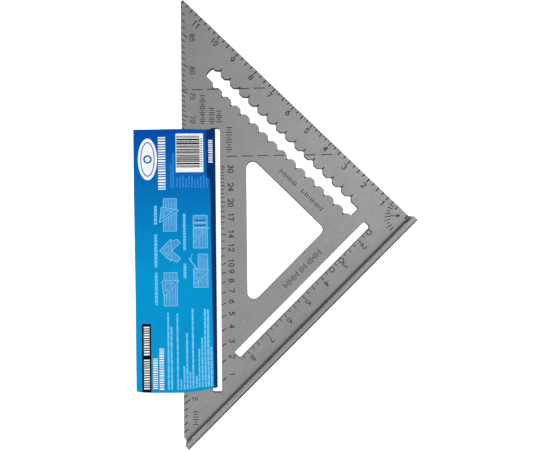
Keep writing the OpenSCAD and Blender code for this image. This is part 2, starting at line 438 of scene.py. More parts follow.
def notch_marks():
    """A short groove that leads out of the root of every notch."""
    near, far = NOTCH_NEAR + NOTCH_DEPTH, NOTCH_FAR - NOTCH_DEPTH
    strokes = []
    for near_y, far_y in zip(NEAR_NOTCHES, FAR_NOTCHES):
        strokes.append(Stroke([(near - PAST_EDGE, near_y), (near + 2.4, near_y)], 1.2))
        strokes.append(Stroke([(far + PAST_EDGE, far_y), (far - 1.6, far_y)], 1.4))
    return strokes


def dashed_line(u, first, pitch, count, length=10.2):
    """Dashes square to the degree edge, from near it towards the ruler."""
    ends = [first + i * pitch for i in range(count)]
    return [Stroke([degree_edge(u, end - length), degree_edge(u, end)], 0.9) for end in ends]


def pivot_arrow():
    """The arrow that points at the pivot corner."""
    tip = (-6.1, 5.3)
    return [Stroke([tip, end], FINE_W) for end in ((-12.2, 11.3), (-7.2, 8.1), (-8.9, 6.4))]


def blank_arc():
    """Plain uprights on an arc round the pivot, where the casting carries a word."""
    strokes = []
    count = 9
    for k in range(count):
        share = k / (count - 1)
        radius = 18.4 + 2.4 * share
        reach = (5.6 - FINE_W) / 2 * (0.5 if k % 4 == 2 else 1.0)
        out = ray(math.radians(76.0 - 70.0 * share))
        strokes.append(Stroke([out * (radius - reach), out * (radius + reach)], FINE_W))
    return strokes


def blank_words():
    """Where the casting carries words, rows of plain strokes."""
    strokes = []
    for x, y, length in ((-54.4, 108.1, 19.6), (-54.1, 76.2, 26.0)):
        strokes += blank_word((x, y), (0, -1), (1, 0), length, 4.4, 0.8)
    for x, length in ((-92.5, 15.7), (-107.6, 6.8), (-123.5, 17.4)):
        strokes += blank_word((x, 35.8), (-1, 0), (0, -1), length, pitch=2.1)
    for u, w, length in ((106.5, 20.9, 27.5), (100.0, 30.0, 14.8), (99.3, 37.3, 10.6)):
        strokes += blank_word(degree_edge(u, w), -TIP_SIDE, INWARDS, length, pitch=2.1)
    strokes += blank_word(degree_edge(76.0, 47.0), -TIP_SIDE, INWARDS, 24.0)
    strokes += blank_arc()
    return strokes + blank_word(degree_edge(-197.0, 11.8), -TIP_SIDE, INWARDS, 12.5, 5.8, 1.0)


def edge_scales(flip):
    """The ruler's and the degree scale, with numerals that read right on the face that is looked at."""
    return ruler_ticks() + ruler_numerals(flip) + degree_ticks() + degree_numerals(flip)


def front_marks():
    strokes = edge_scales(1.0) + rafter_scale() + straight_slot_scale() + notch_marks()
    strokes += pivot_arrow() + blank_words()
    return strokes + dashed_line(126.4, 5.8, 15.3, 6) + dashed_line(59.8, 8.1, 15.4, 10)


# ---- mesh of the blade


def groove_depth(points, strokes):
    """How deep the grooves are at each point."""
    depth = np.zeros(len(points))
    for s in strokes:
        lo = s.points.min(0) - s.half - 0.01
        hi = s.points.max(0) + s.half + 0.01
        near = np.nonzero(np.all((points >= lo) & (points <= hi), axis=1))[0]
        if not len(near):
            continue
        p = points[near][:, None, :]
        a, b = s.segments()
        ab = (b - a)[None]
        t = np.clip(np.sum((p - a[None]) * ab, 2) / np.maximum(np.sum(ab * ab, 2), 1e-12), 0, 1)
        distance = np.linalg.norm(p - a[None] - ab * t[..., None], axis=2).min(1)
        share = np.clip((s.half - distance) / MARK_SLOPE, 0, 1)
        depth[near] = np.maximum(depth[near], share * MARK_DEPTH)
    return depth


def triangulated(loops, contours):
    """Triangles that fill the outer loop less its holes, with every contour as a line of edges."""
    coords, edges = [], []
    for loop in list(loops) + list(contours):
        first = len(coords)
        coords += [Vector((float(x), float(y))) for x, y in loop]
        edges += [(first + k, first + (k + 1) % len(loop)) for k in range(len(loop))]
    verts, _, faces, _, _, _ = delaunay_2d_cdt(coords, edges, [], 0, 1e-4)
    verts = np.array([(v.x, v.y) for v in verts])
    faces = np.array([f for f in faces if len(f) == 3])
    centres = verts[faces].mean(1)
    keep = inside(centres, loops[0])
    for hole in loops[1:]:
        keep &= ~inside(centres, hole)
    faces = faces[keep]
    used, faces = np.unique(faces, return_inverse=True)
    return verts[used], faces.reshape(-1, 3)


def boundary_loops(faces):
    """Closed chains of the edges that have one triangle, with the filled side on their left."""
    once = {}
    for a, b, c in faces:
        for start, end in ((a, b), (b, c), (c, a)):
            if once.pop((end, start), None) is None:
                once[start, end] = True
    following = {start: end for start, end in once}
    loops = []
    while following:
        start = next(iter(following))
        chain, at = [], start
        while at in following:
            chain.append(at)
            at = following.pop(at)
        loops.append(chain)
    return loops


def add_object(name, data):
    obj = bpy.data.objects.new(name, data)
    bpy.context.scene.collection.objects.link(obj)
    return obj


class MeshParts:
    """Vertices and faces in millimetres, with a material and a smooth flag for each face."""

    def __init__(self):
        self.verts, self.faces, self.materials, self.smooth = [], [], [], []

    def add_verts(self, points):
        first = len(self.verts)
        self.verts += [tuple(float(c) for c in p) for p in points]
        return list(range(first, len(self.verts)))

    def add_face(self, face, material=0, smooth=False):
        self.faces.append(tuple(int(i) for i in face))
        self.materials.append(material)
        self.smooth.append(smooth)

    def strip(self, lower, upper, material, smooth=True):
        """Quads between two closed rings of the same length, with a material for each quad."""
        for k in range(len(lower)):
            j = (k + 1) % len(lower)
            self.add_face((lower[k], lower[j], upper[j], upper[k]), int(material[k]), smooth)

    def plan(self, ring):
        """Places of a ring's vertices in X and Y."""
        return np.array([self.verts[i] for i in ring])[:, :2]

    def build(self, name, materials, sharp=None):
        """The piece in the scene, with its edges split where they turn by more than sharp degrees."""
        mesh = bpy.data.meshes.new(name)
        mesh.from_pydata([tuple(c * MM for c in v) for v in self.verts], [], self.faces)
        for m in materials:
            mesh.materials.append(m)
        mesh.polygons.foreach_set("material_index", self.materials)
        mesh.polygons.foreach_set("use_smooth", self.smooth)
        mesh.update()
        if sharp is not None:
            mesh.set_sharp_from_angle(angle=math.radians(sharp))
        return add_object(name, mesh)


def zip_rings(parts, upper, lower, material):
    """Triangles between two closed rings that trace the same outline with different points."""
    def shares(ring):
        p = parts.plan(ring)
        lengths = np.linalg.norm(np.roll(p, -1, 0) - p, axis=1)
        return np.concatenate([[0], np.cumsum(lengths)]) / lengths.sum()

    nearest = int(np.argmin(np.linalg.norm(parts.plan(lower) - parts.plan(upper[:1]), axis=1)))
    lower = lower[nearest:] + lower[:nearest]
    upper_share, lower_share = shares(upper), shares(lower)
    i = j = 0
    while i < len(upper) or j < len(lower):
        a, b = upper[i % len(upper)], lower[j % len(lower)]
        if j >= len(lower) or (i < len(upper) and upper_share[i + 1] <= lower_share[j + 1]):
            i += 1
            c = upper[i % len(upper)]
        else:
            j += 1
            c = lower[j % len(lower)]
        parts.add_face((a, c, b), material)


# The casting's looks, by their place in its materials; only the face and wall looks are plain, the rest are
# painted shade or painted light
CAST_FACE, CAST_PAINTED_SHADE, CAST_WALL, CAST_HOLE_PAINTED_SHADE, CAST_PAINTED_LIGHT, CAST_CORNER_PAINTED_SHADE, CAST_STRONG_PAINTED_LIGHT = range(7)


def groove_material(corners, depth):
    """The look of one triangle: painted shade in a groove and on its sides that face away from +X, and a
    painted highlight on its side that faces +X, towards the key light.
    """
    if depth.max() < MARK_DEPTH * 0.3:
        return CAST_FACE
    if depth.min() > MARK_DEPTH * 0.9:
        return CAST_PAINTED_SHADE
    (ax, ay), (bx, by) = corners[1] - corners[0], corners[2] - corners[0]
    area = ax * by - ay * bx
    slope_x = ((depth[1] - depth[0]) * by - (depth[2] - depth[0]) * ay) / area
    return CAST_PAINTED_LIGHT if slope_x > 0.3 else CAST_PAINTED_SHADE


def is_outer(points):
    """Whether a ring is the blade's own edge, and not the edge of a hole."""
    return points[:, 1].min() < ROOT_Y + 0.01


def rounded_edge(parts, base, groove, upper, side):
    """The rounding of one edge, from the face to the parting line; returns the ring there."""
    out = -left_normals(base)
    at_foot = base[:, 1] < ROOT_Y + 0.01
    out[at_foot, 1] = 0.0
    out[at_foot, 0] = np.where(np.abs(out[at_foot, 0]) > 0.3, np.sign(out[at_foot, 0]), 0.0)
    outer = is_outer(base)
    # Edges of the holes that face -X and -Y get painted shade, a dark line along them
    shaded = ((out + np.roll(out, -1, 0)).sum(1) < -1.2) & (not outer)
    for degrees in (30.0, 60.0, 90.0, None):
        if degrees is None:
            shift, level = EDGE_R, np.full(len(base), PARTING)
        else:
            a = math.radians(degrees)
            shift = (EDGE_R - DRAFT) * math.sin(a)
            level = np.minimum(FACE_Z - EDGE_R * (1 - math.cos(a)), FACE_Z - groove)
        ring = parts.add_verts(np.column_stack([base + out * shift, side * level]))
        # Those shaded hole edges take painted shade all the way down; other hole edges keep the plain wall
        # look on the first step of rounding and painted shade below it
        material = np.where(shaded, CAST_PAINTED_SHADE, CAST_WALL if outer or degrees == 30.0 else CAST_HOLE_PAINTED_SHADE)
        lower, higher = (ring, upper) if side > 0 else (upper, ring)
        parts.strip(lower, higher, material, degrees is not None)
        upper = ring
    return upper


def blade_side(parts, strokes, side):
    """One face of the blade with its grooves and rounded edges; returns the rings at the parting line."""
    loops = [offset(loop, EDGE_R) for loop in casting_loops()]
    points, faces = triangulated(loops, [contour for s in strokes for contour in s.contours()])
    depth = groove_depth(points, strokes)
    index = parts.add_verts(np.column_stack([points, side * (FACE_Z - depth)]))
    for f in faces:
        order = f if side > 0 else f[::-1]
        parts.add_face([index[k] for k in order], groove_material(points[f], depth[f]))
    rings = []
    for chain in boundary_loops(faces):
        rings.append(rounded_edge(parts, points[chain], depth[chain], [index[k] for k in chain], side))
    return rings


def matching(parts, ring, rings):
    """The ring among rings whose box is nearest this one's."""
    def box(r):
        p = parts.plan(r)
        return np.concatenate([p.min(0), p.max(0)])

    return min(rings, key=lambda r: np.abs(box(r) - box(ring)).sum())


def make_blade(materials):
    parts = MeshParts()
    front = blade_side(parts, front_marks(), 1)
    back = blade_side(parts, edge_scales(-1.0), -1)
    for ring in front:
        # The walls of the holes take painted shade; the blade's outer wall keeps the plain wall look
        material = CAST_WALL if is_outer(parts.plan(ring)) else CAST_HOLE_PAINTED_SHADE
        zip_rings(parts, ring, matching(parts, ring, back), material)
    return parts.build("blade_casting", materials)


# ---- mesh of the fence


FILLET_TOP = FACE_Z + FILLET_R
PAINTED_SHADE_TOP, PAINTED_LIGHT_TOP = 2.0, 5.0  # heights over the fillet where the inner side's painted shade gives way to strong painted light, then to weaker painted light
END_PAINTED_SHADE = 9.0  # how far the painted light on the inner side stops short of the fence's ends, which keep the painted shade
TOP_DROP = 0.25  # how far the flange's top falls from its ridge to its edges


def fence_section():
    """Outline of the fence in Y and Z, metal on its left."""
    top = FENCE_HALF - TOP_DROP
    ridge = ((FENCE_IN + FENCE_OUT) / 2, FENCE_HALF)
    corners = [(FENCE_IN, FILLET_TOP), (FENCE_IN, top), ridge, (FENCE_OUT, top), (FENCE_OUT, 0)]
    flange = rounded(corners, [0, 0.4, 0.5, 1.4, 0], 18.0)
    arc = [math.radians(a) for a in range(0, 91, 9)]
    upper = [(ROOT_Y - FILLET_R * math.sin(a), FILLET_TOP - FILLET_R * math.cos(a)) for a in arc]
    upper += [(FENCE_IN, FILLET_TOP + PAINTED_SHADE_TOP), (FENCE_IN, FILLET_TOP + PAINTED_LIGHT_TOP)]
    upper += [tuple(p) for p in flange[1:-1]]
    lower = [(y, -z) for y, z in reversed(upper)]
    return turned(np.array(upper + lower), True)


def fence_materials(section, middle_run):
    """The look of the face that starts at each point of the section."""
    y, z = section[:, 0], np.abs(section[:, 1])

    def both(chosen):
        return chosen & np.roll(chosen, -1)

    # The fillet, the inner side's lowest part and its ends take painted shade; higher up the inner side
    # takes painted light, strongest just above the shade
    height = np.maximum(z, np.roll(z, -1)) - FILLET_TOP - 0.01
    painted_light_look = np.where(height < PAINTED_LIGHT_TOP, CAST_STRONG_PAINTED_LIGHT, CAST_PAINTED_LIGHT)
    inner = np.where((height < PAINTED_SHADE_TOP) | (not middle_run), CAST_CORNER_PAINTED_SHADE, painted_light_look)
    looks = np.where(both((np.abs(y - FENCE_IN) < 0.21) & (z > FACE_Z + 0.01)), inner, CAST_WALL)
    looks = np.where(both((y > FENCE_IN + 0.2) & (z < FILLET_TOP + 0.01)), CAST_CORNER_PAINTED_SHADE, looks)
    # The flange's outer top edge gets painted shade, a dark line
    return np.where(both((y < FENCE_OUT + 1.35) & (z > FENCE_HALF - 1.7)), CAST_PAINTED_SHADE, looks)


def make_fence(materials):
    """The fence: its section run along X, with sloping ends and rounded end edges."""
    parts = MeshParts()
    section = fence_section()
    slope = np.clip((ROOT_Y - section[:, 0]) / (ROOT_Y - FENCE_IN), 0, 1)
    ends = [(a, 0.0) for a in (90, 60, 30, 0)] + [(0, 1.2), (0, END_PAINTED_SHADE)]
    stations = [(1, *end) for end in ends] + [(-1, *end) for end in reversed(ends)]
    rings = []
    for side, degrees, further in stations:
        a = math.radians(degrees)
        ring = offset(section, EDGE_R * (1 - math.cos(a)))
        start, end = (BLADE_LEFT, FENCE_LEFT) if side > 0 else (0.0, FENCE_RIGHT)
        x = start + (end - start) * slope + side * (EDGE_R * (1 - math.sin(a)) + further)
        rings.append(parts.add_verts(np.column_stack([x, ring])))
    for run, (a, b) in enumerate(zip(rings, rings[1:])):
        parts.strip(b, a, fence_materials(section, run == len(ends) - 1))
    parts.add_face(rings[0], CAST_WALL)
    parts.add_face(rings[-1][::-1], CAST_WALL)
    return parts.build("fence_casting", materials, 30)


# ---- card sleeve: one printed card folded round the blade

CARD_T = 0.5
CARD_FACE = card_high.z  # outer side of a panel where it lies over the blade
CARD_MEET = 0.65  # and where the two panels are glued together
GLUE_HALF = 0.14
OVER_BLADE, MEET_AT = -1.2, -34.5  # the panels close up between these, outwards from the degree edge
FOLD_R = 0.7
FOLD_ARC = (0, 22.5, 45, 67.5, 90)  # degrees round each crease
FOLD_TOP, FOLD_FOOT = (87.0, 33.2), (-166.6, 33.4)
LEAN = 0.0122  # how far the artwork leans against the degree edge
# A sheet's materials: outer side, inner side and cut edge, then the other inks of the front print
BLUE, INNER, CUT, NAVY, WHITE, BLACK, CYAN, PALE, SKETCH, SHADE = range(10)
# The artwork's places were taken in an earlier frame of the card. A rounded least-squares fit
# carries them over to this one, with factors of 1, u, w, uu, uw, ww
ART_TO_U = (1.74, 1.010, 0.0, -0.00006, -0.00017, -0.00009)
ART_TO_W = (-1.74, 0.009, 1.032, 0.0, -0.00006, -0.0002)
# The panel's edge from the top of the fold round to its foot, in the degree edge's frame
PANEL_EDGE = [
    (86.5, 23.5), (87.2, 9.2), (87.9, -11.3), (88.5, -48.8), (-171.0, -46.9), (-172.0, -45.8),
    (-172.8, -38.9), (-173.0, -28.5), (-172.4, -11.6), (-171.8, 0.9), (-170.9, 9.2), (-169.6, 18.5),
    (-167.9, 27.8),
]


def fold_at(u):
    """How far inwards of the degree edge the fold's outer side runs."""
    share = (FOLD_TOP[0] - u) / (FOLD_TOP[0] - FOLD_FOOT[0])
    return FOLD_TOP[1] + (FOLD_FOOT[1] - FOLD_TOP[1]) * share


def panel_lift(u, w):
    """Height of a panel's outer side over the blade's middle, with its slight bow."""
    t = np.clip((w - MEET_AT) / (OVER_BLADE - MEET_AT), 0, 1)
    ease = 0.45 * t + 0.55 * t * t * (3 - 2 * t)
    bow = 0.16 * (1 - np.cos((u + 170.0) * 2 * math.pi / 128.0)) * ease
    return CARD_MEET + (CARD_FACE - CARD_MEET) * ease + bow


def flap_wave(u, w):
    """How far the glued flap waves out of the blade's plane."""
    reach = np.clip((-28.0 - w) / 18.0, 0, 1)
    return 0.55 * reach * reach * np.sin(u * 2 * math.pi / 190.0 + 0.8)


def panel_height(side, depth=0.0):
    """Height of a panel's outer side, or of a level under it: side 1 is over the marked face, -1 behind."""
    return lambda u, w: flap_wave(u, w) + side * (panel_lift(u, w) - depth)


def glue_height(side):
    return lambda u, w: flap_wave(u, w) + side * GLUE_HALF


def panel_outline():
    top = (FOLD_TOP[0] - 0.2, fold_at(FOLD_TOP[0]) - FOLD_R)
    foot = (FOLD_FOOT[0], fold_at(FOLD_FOOT[0]) - FOLD_R)
    return np.array([top] + PANEL_EDGE + [foot])


def grid_lines(outline, step_u=8.0, step_w=5.5):
    """Lines across an outline, so that its curves have points to bend at."""
    lo, hi = outline.min(0), outline.max(0)
    lines = [[(u, lo[1] - 1), (u, hi[1] + 1)] for u in np.arange(lo[0] + step_u / 2, hi[0], step_u)]
    lines += [[(lo[0] - 1, w), (hi[0] + 1, w)] for w in np.arange(lo[1] + step_w / 2, hi[1], step_w)]
    return lines


def make_sheet(name, outline, shapes, upper, lower, materials):
    """A sheet between two surfaces over an outline, with printed shapes on its upper side."""
    points, faces = triangulated([outline], [shape for shape, _ in shapes] + grid_lines(outline))
    u, w = points[:, 0], points[:, 1]
    place = np.array([degree_edge(*p) for p in points])
    centres = points[faces].mean(1)
    ink = np.zeros(len(faces), int)
    for shape, k in shapes:
        ink[inside(centres, np.array(shape))] = k
    parts = MeshParts()
    above = parts.add_verts(np.column_stack([place, upper(u, w)]))
    below = parts.add_verts(np.column_stack([place, lower(u, w)]))
    for f, k in zip(faces, ink):
        parts.add_face([above[i] for i in f[::-1]], k, True)
        parts.add_face([below[i] for i in f], INNER, True)
    for chain in boundary_loops(faces):
        for i, a in enumerate(chain):
            b = chain[(i + 1) % len(chain)]
            parts.add_face((above[a], above[b], below[b], below[a]), CUT)
    return parts.build(name, materials, 40)


def fold_side(edge, lift, depth, bulge):
    """The fold in w and Z from the front panel round to the back one, at a depth under its outer side."""
    radius = FOLD_R - depth
    arc = [math.radians(a) for a in FOLD_ARC]
    side = [(edge - FOLD_R + radius * math.sin(a), lift - FOLD_R + radius * math.cos(a)) for a in arc]
    side.append((edge - depth + bulge, 0.0))
    return side + [(w, -z) for w, z in side[-2::-1]]


def make_fold(materials):
    """The spine between the panels, with both of its creases."""
    parts = MeshParts()
    rings = []
    for u in np.linspace(FOLD_TOP[0], FOLD_FOOT[0] - 0.1, 41):
        edge = fold_at(u)
        lift = float(panel_lift(u, edge))
        bulge = 0.048 * math.sin(u / 9.0) * math.sin(u / 23.0)
        section = fold_side(edge, lift, 0.0, bulge) + fold_side(edge, lift, CARD_T, bulge)[::-1]
        rings.append(parts.add_verts([(*degree_edge(u, w), z) for w, z in section]))
    half = len(rings[0]) // 2
    sides = [BLUE] * (half - 1) + [CUT] + [INNER] * (half - 1) + [CUT]
    for a, b in zip(rings, rings[1:]):
        for k, material in enumerate(sides):
            j = (k + 1) % len(sides)
            parts.add_face((a[k], a[j], b[j], b[k]), material, material != CUT)
    for ring, step in ((rings[0], 1), (rings[-1], -1)):
        for k in range(half - 1):
            quad = (ring[k], ring[k + 1], ring[2 * half - 2 - k], ring[2 * half - 1 - k])
            parts.add_face(quad[::step], CUT)
    return parts.build("card_fold", materials, 40)


def printed(u, b):
    """A point of the print, from its artwork: u along the card and b across it."""
    w = b - LEAN * u
    terms = np.array([1.0, u, w, u * u, u * w, w * w])
    return (float(terms @ ART_TO_U), float(terms @ ART_TO_W))


def polygon(points, ink):
    return [([printed(*p) for p in points], ink)]


def patch(u0, u1, b0, b1, ink):
    return polygon(box_corners(u0, u1, b0, b1), ink)


def rule(a, b, width, ink):
    """A printed line between two points."""
    a, b = np.array(a, float), np.array(b, float)
    side = unit([a[1] - b[1], b[0] - a[0]]) * width / 2
    return polygon([a + side, b + side, b - side, a - side], ink)


def frame_of(points, width, ink):
    return [shape for a, b in zip(points, points[1:] + points[:1]) for shape in rule(a, b, width, ink)]


def blocks(chance, u0, u1, b0, b1, widths, gap, ink):
    """A row of plain blocks from u0 down to u1, where a card carries a word."""
    shapes = []
    u = u0
    while u > u1 + 0.4:
        width = min(chance.uniform(*widths), u - u1)
        shapes += patch(u, u - width, b0, b1, ink)
        u -= width + gap
    return shapes


# A plain badge: half lengths along and across the card, points round it, and ink, from its rim inwards
BADGE_AT = (56.0, -31.4)
BADGE = (
    (20.6, 9.3, 40, WHITE), (17.2, 6.9, 40, BLUE), (16.0, 6.0, 40, WHITE), (4.2, 4.2, 24, BLUE),
    (2.6, 2.6, 20, WHITE),
)


def stripe_label():
    """A white label with plain dark stripes across it."""
    shapes = patch(80.8, 42.7, -3.8, 22.8, WHITE)
    chance = random.Random(4)
    start = 78.6
    while start > 48.0:
        width = chance.choice((0.6, 0.8, 1.2, 1.7))
        shapes += patch(start, start - width, -3.2, 19.4, BLACK)
        start -= width + chance.choice((0.3, 0.5, 0.9))
    for k in range(13):
        shapes += patch(76.0 - k * 2.25, 75.0 - k * 2.25, 20.1, 21.9, SHADE)
    return shapes


def sketch_board(u0, u1, b0, b1):
    """A plank drawn in outline over a paler fill, with a few lines of grain."""
    shapes = patch(u0, u1, b0, b1, SKETCH)
    for k in range(4):
        b = b0 + (b1 - b0) * (k + 0.7) / 4.4
        shapes += patch(u0 - 1.5 - k, u1 + 4.0 - 2 * (k % 2), b, b + 0.45, CYAN)
    return shapes + frame_of(box_corners(u0, u1, b0, b1), 0.75, CYAN)


def sketch_square(a, b, c):
    """A drawn triangle with an inner line and a dark edge along its last side."""
    points = [np.array(p, float) for p in (a, b, c)]
    middle = sum(points) / 3
    shapes = polygon(points, SKETCH) + frame_of([middle + (p - middle) * 0.52 for p in points], 0.6, CYAN)
    shapes += rule(*[middle + (p - middle) * 0.84 for p in points[1:]], 0.8, SHADE)
    return shapes + frame_of(points, 0.85, CYAN)


def sketch_plank(turn):
    """One of two short planks that meet at a corner: turn 1 leads up the card and -1 down it."""
    root = np.array([-33.8, -8.8])
    far = root + unit([turn * 7.4, 8.4]) * 11.4
    across = np.array([turn * 3.6, -3.2])
    points = [root, far, far + across, root + across * 1.8]
    return polygon(points, SKETCH) + frame_of(points, 0.7, CYAN)


# Blank lines of print beside the drawings: start and end along the card, then across it
CAPTIONS = (
    (10.2, -8.2, -25.6, -22.7), (-17.9, -50.2, -25.5, -22.7), (-55.1, -86.4, -25.2, -22.5),
    (1.8, -34.0, 2.5, 5.1), (-46.6, -60.8, 2.6, 5.2),
)


def sketches(chance):
    """Five small drawings of a square on a plank, with a blank line of words beside each."""
    shapes = sketch_board(16.9, -14.8, -16.4, -3.7)
    shapes += sketch_square((8.7, -18.4), (5.3, -1.4), (-6.3, -20.2))
    shapes += sketch_plank(1.0) + sketch_plank(-1.0)
    shapes += sketch_square((-33.8, -20.4), (-22.6, -9.4), (-44.0, -9.4))
    shapes += sketch_board(-55.2, -87.2, -16.4, -3.6)
    shapes += sketch_square((-63.2, -18.4), (-62.9, -2.2), (-78.4, -16.6))
    shapes += sketch_board(0.1, -31.5, 12.4, 25.8)
    for k in range(4):
        shapes += patch(-4.0 - k * 2.4, -5.2 - k * 2.4, 13.2, 24.6, CYAN if k % 2 else SHADE)
    shapes += sketch_square((-12.4, 12.6), (-12.2, 27.2), (-25.8, 12.4))
    shapes += sketch_board(-37.5, -69.5, 16.8, 25.8) + sketch_board(-51.4, -69.5, 12.2, 16.8)
    shapes += sketch_square((-52.6, 12.8), (-53.0, 26.8), (-66.6, 12.4))
    shapes += rule((-41.4, 8.2), (-50.6, 14.6), 1.5, CYAN) + rule((-43.6, 10.6), (-50.0, 15.4), 0.6, SHADE)
    shapes += rule((-37.0, 11.0), (-42.4, 9.6), 0.6, CYAN)
    for caption in CAPTIONS:
        shapes += blocks(chance, *caption, (1.2, 3.6), 0.5, CYAN)
    return shapes


# Blank lines of print on the lower part of the card: middle, start along the card, and thickness
TEXT_LINES = (
    (-12.8, -93.9, 1.7), (-9.7, -107.4, 1.8), (-3.9, -94.7, 1.6), (-0.8, -157.5, 1.3), (2.2, -145.0, 1.6),
    (5.1, -113.1, 1.7), (7.9, -150.5, 1.4), (10.7, -90.2, 1.8), (13.9, -154.5, 1.6), (16.6, -128.4, 1.5),
    (19.5, -118.0, 1.6), (22.4, -90.5, 1.8), (25.3, -91.2, 2.0), (28.2, -127.0, 1.8),
)
# Blank words at the foot of the card: start and end along it, then across it, block widths and gap
FOOT_WORDS = (
    (-107.1, -135.6, -36.4, -31.0, (0.8, 1.6), 1.1), (-138.6, -167.7, -36.4, -31.0, (0.8, 1.6), 1.1),
    (-137.7, -167.8, -27.8, -23.2, (0.7, 1.5), 1.0), (-128.1, -167.8, -21.6, -17.2, (0.7, 1.5), 1.0),
)
# Where the navy strip beside the fold begins, from the top of the card down
NAVY_EDGE = [
    (90.0, 24.8), (39.0, 25.4), (37.4, 25.8), (36.4, 27.0), (36.0, 28.6), (-82.0, 30.7), (-175.0, 32.6),
]
NAVY_BACK = 40.0


def front_print():
    """Every printed shape on the front panel, later ones over earlier ones."""
    chance = random.Random(11)
    navy = [(90.0, NAVY_BACK)] + NAVY_EDGE + [(-175.0, NAVY_BACK)]
    shapes = polygon([(u, w + LEAN * u) for u, w in navy], NAVY)
    for along, across, count, ink in BADGE:
        shapes += polygon(ring_points(BADGE_AT, along, across, count), ink)
    shapes += blocks(chance, 77.8, 24.6, -21.2, -13.9, (0.9, 1.9), 1.1, WHITE)
    shapes += blocks(chance, 51.0, 27.5, -9.3, -8.0, (1.2, 3.2), 0.6, PALE)
    shapes += blocks(chance, 61.5, 27.5, -7.0, -5.7, (1.2, 3.2), 0.6, PALE)
    shapes += stripe_label()
    shapes += blocks(chance, 74.4, 51.3, 27.8, 32.0, (0.7, 1.3), 0.9, WHITE)
    for k in range(11):
        b = -3.2 + k * 2.85
        shapes += blocks(chance, 40.0 - chance.uniform(0.0, 6.0), 27.4, b, b + 1.2, (1.6, 4.0), 0.5, PALE)
    shapes += patch(-104.4, -175.0, -38.2, -29.4, BLACK)
    for word in FOOT_WORDS:
        shapes += blocks(chance, *word, WHITE)
    for middle, start, thick in TEXT_LINES:
        end = -167.4 + 0.11 * max(0.0, middle)
        shapes += blocks(chance, start, end, middle - thick / 2, middle + thick / 2, (2.0, 9.0), 0.6, CYAN)
    return shapes + sketches(chance)


def glue_outline():
    """A brushed-on strip with an uneven edge."""
    chance = random.Random(5)
    top, foot, count = 84.6, -170.6, 40
    step = (top - foot) / count
    points = [(top - step * k, -35.6 - chance.uniform(0.0, 0.9)) for k in range(count + 1)]
    for k in range(count + 1):
        points.append((foot + step * k, -44.6 - 1.9 * k / count - chance.uniform(0.0, 0.3)))
    return np.array(points)


# ---- materials

FADE_FOOT, FADE_TOP = -0.172, 0.086  # ends of the front print's fade, in metres along the degree edge
# The casting's looks in the order of CAST_FACE and the rest: dark, light, roughness low and high, grain
CASTING = {
    "cast_face": (0.25, 0.305, 0.52, 0.62, 0.5),
    # painted shade: groove floors, groove sides away from +X and dark edge lines
    "cast_painted_shade": (0.03, 0.06, 0.6, 0.7, 0.5),
    "cast_wall": (0.25, 0.305, 0.50, 0.60, 0.4),
    # painted shade on the walls of the holes
    "cast_hole_painted_shade": (0.06, 0.10, 0.6, 0.7, 0.4),
    # painted light: highlights on groove sides that face +X, and the fence's upper inner side
    "cast_painted_light": (0.60, 0.75, 0.40, 0.50, 0.3),
    # painted shade in the fence's inside corner
    "cast_corner_painted_shade": (0.16, 0.20, 0.6, 0.7, 0.4),
    # strong painted light on the fence's inner side just above that shade
    "cast_strong_painted_light": (0.80, 0.90, 0.45, 0.55, 0.3),
}


def new_material(name):
    m = bpy.data.materials.new(name)
    m.use_nodes = True
    tree = m.node_tree
    return m, tree, tree.nodes["Principled BSDF"]


def set_inputs(node, values):
    for name, value in values.items():
        node.inputs[name].default_value = value


def dress(tree, shader, colour, roughness, normal):
    """Links worked-out values to a shader."""
    for name, output in (("Base Color", colour), ("Roughness", roughness), ("Normal", normal)):
        tree.links.new(output, shader.inputs[name])


def noise(tree, coords, scale, detail=4.0, roughness=0.55, stretch=None):
    node = tree.nodes.new("ShaderNodeTexNoise")
    set_inputs(node, {"Scale": scale, "Detail": detail, "Roughness": roughness})
    if stretch is not None:
        mapping = tree.nodes.new("ShaderNodeMapping")
        set_inputs(mapping, {"Scale": stretch})
        tree.links.new(coords, mapping.inputs["Vector"])
        coords = mapping.outputs["Vector"]
    tree.links.new(coords, node.inputs["Vector"])
    return node.outputs["Fac"]


def ramp(tree, factor, stops):
    node = tree.nodes.new("ShaderNodeValToRGB")
    while len(node.color_ramp.elements) < len(stops):
        node.color_ramp.elements.new(0.5)
    for element, (position, colour) in zip(node.color_ramp.elements, stops):
        element.position = position
        element.color = (*colour, 1.0)
    tree.links.new(factor, node.inputs["Fac"])
    return node.outputs["Color"]


def grey_ramp(tree, factor, low, high, start=0.3, end=0.7):
    return ramp(tree, factor, [(start, (low,) * 3), (end, (high,) * 3)])


def mix_colour(tree, factor, a, b, blend="MIX"):
    node = tree.nodes.new("ShaderNodeMix")
    node.data_type = "RGBA"
    node.blend_type = blend
    for socket, value in ((node.inputs["Factor"], factor), (node.inputs[6], a), (node.inputs[7], b)):
        if isinstance(value, bpy.types.NodeSocket):
            tree.links.new(value, socket)
        else:
            socket.default_value = value
    return node.outputs[2]


def bump(tree, height, strength, distance, normal=None):
    node = tree.nodes.new("ShaderNodeBump")
    set_inputs(node, {"Strength": strength, "Distance": distance})
    tree.links.new(height, node.inputs["Height"])
    if normal is not None:
        tree.links.new(normal, node.inputs["Normal"])
    return node.outputs["Normal"]


def object_coords(tree):
    return tree.nodes.new("ShaderNodeTexCoord").outputs["Object"]


